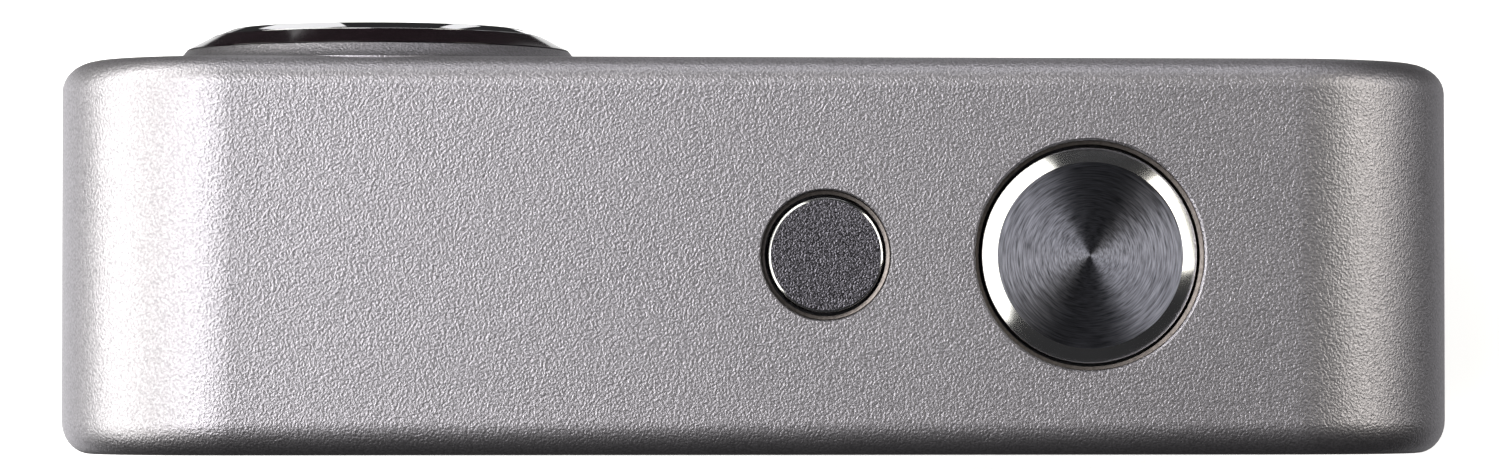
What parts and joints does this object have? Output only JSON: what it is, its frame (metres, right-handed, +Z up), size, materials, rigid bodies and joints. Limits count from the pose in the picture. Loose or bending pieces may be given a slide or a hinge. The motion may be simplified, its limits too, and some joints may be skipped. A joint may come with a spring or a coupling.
{
  "type": "subminiature digital camera",
  "caption": "Pocket-sized subminiature camera: a long satin metal housing with rounded ends, a ringed lens on the front, press buttons on top, and a display and keys on the back.",
  "frame": {"origin": "centre of the flat base", "axes": "+X along the camera towards the lens end, -Y the front the lens looks along, +Z up"},
  "size_m": [0.086, 0.0264, 0.0291],
  "materials": {
    "satin_alloy": "bead-blasted",
    "dark_alloy": "spun, dark",
    "chrome": "polished",
    "steel": "plain",
    "brass": "turned",
    "gloss_black": "gloss",
    "black_plastic": "satin",
    "black_metal": "matt",
    "black_rubber": "matt",
    "coated_glass": "coated",
    "clear_window": "polished",
    "circuit_board": "solder mask",
    "cell_label": "wrapped",
    "silicon": "polished"
  },
  "bodies": {
    "camera": {"aperture_stop": "black_metal", "back_cover": "black_plastic", "battery": "cell_label", "battery_compartment": "black_plastic", "battery_contacts": "brass", "battery_door_pin": "steel", "body_shell": "satin_alloy", "button_board": "circuit_board", "button_guide_plate": "steel", "card_socket": "steel", "chassis_plate": "steel", "cover_screw_1": "steel", "cover_screw_2": "steel", "cover_screw_3": "steel", "cover_screw_4": "steel", "display_window": "clear_window", "finder_eyepiece": "clear_window", "finder_tube": "black_plastic", "finder_window": "clear_window", "front_element": "coated_glass", "guide_screw_1": "steel", "guide_screw_2": "steel", "image_sensor": "silicon", "infrared_filter": "coated_glass", "key_board": "circuit_board", "lcd_backlight": "steel", "lcd_panel": "silicon", "lens_baffle": "black_metal", "lens_barrel": "black_metal", "lens_bezel": "gloss_black", "lens_mount": "black_plastic", "lens_trim_ring": "chrome", "main_board": "circuit_board", "memory_card": "black_plastic", "microphone": "steel", "power_spring": "steel", "power_switch": "black_plastic", "rear_element": "coated_glass", "second_element": "coated_glass", "sensor_board": "circuit_board", "shutter_spring": "steel", "shutter_switch": "black_plastic", "speaker": "steel", "status_light": "clear_window", "strap_bar": "chrome", "third_element": "coated_glass", "tripod_socket": "brass", "usb_flap_pin": "steel", "usb_socket": "steel"},
    "shutter_button": {"shutter_button": "dark_alloy"},
    "power_button": {"power_button": "dark_alloy"},
    "key_up": {"key_up": "black_plastic"},
    "key_down": {"key_down": "black_plastic"},
    "key_left": {"key_left": "black_plastic"},
    "key_right": {"key_right": "black_plastic"},
    "key_ok": {"key_ok": "black_plastic"},
    "key_play": {"key_play": "black_plastic"},
    "key_menu": {"key_menu": "black_plastic"},
    "battery_door": {"battery_door": "satin_alloy"},
    "usb_flap": {"usb_flap": "black_rubber"}
  },
  "joints": [
    {"name": "shutter_press", "type": "slide", "parent": "camera", "child": "shutter_button", "axis": [0, 0, -1], "range_m": [0, 0.0008], "stiffness_N_per_m": 900, "springref_m": -0.0003, "deforming": ["shutter_spring"]},
    {"name": "power_press", "type": "slide", "parent": "camera", "child": "power_button", "axis": [0, 0, -1], "range_m": [0, 0.0004], "stiffness_N_per_m": 900, "springref_m": -0.0003, "deforming": ["power_spring"]},
    {"name": "key_up_press", "type": "slide", "parent": "camera", "child": "key_up", "axis": [0, -1, 0], "range_m": [0, 0.00035], "stiffness_N_per_m": 900, "springref_m": -0.0003},
    {"name": "key_down_press", "type": "slide", "parent": "camera", "child": "key_down", "axis": [0, -1, 0], "range_m": [0, 0.00035], "stiffness_N_per_m": 900, "springref_m": -0.0003},
    {"name": "key_left_press", "type": "slide", "parent": "camera", "child": "key_left", "axis": [0, -1, 0], "range_m": [0, 0.00035], "stiffness_N_per_m": 900, "springref_m": -0.0003},
    {"name": "key_right_press", "type": "slide", "parent": "camera", "child": "key_right", "axis": [0, -1, 0], "range_m": [0, 0.00035], "stiffness_N_per_m": 900, "springref_m": -0.0003},
    {"name": "key_ok_press", "type": "slide", "parent": "camera", "child": "key_ok", "axis": [0, -1, 0], "range_m": [0, 0.00035], "stiffness_N_per_m": 900, "springref_m": -0.0003},
    {"name": "key_play_press", "type": "slide", "parent": "camera", "child": "key_play", "axis": [0, -1, 0], "range_m": [0, 0.00035], "stiffness_N_per_m": 900, "springref_m": -0.0003},
    {"name": "key_menu_press", "type": "slide", "parent": "camera", "child": "key_menu", "axis": [0, -1, 0], "range_m": [0, 0.00035], "stiffness_N_per_m": 900, "springref_m": -0.0003},
    {"name": "battery_door_hinge", "type": "hinge", "parent": "camera", "child": "battery_door", "pos_m": [-0.0306, 0, 0.00075], "axis": [0, 1, 0], "range_deg": [0, 110]},
    {"name": "usb_flap_hinge", "type": "hinge", "parent": "camera", "child": "usb_flap", "pos_m": [-0.042, 0.0056, 0.0145], "axis": [0, 0, -1], "range_deg": [0, 90]}
  ]
}
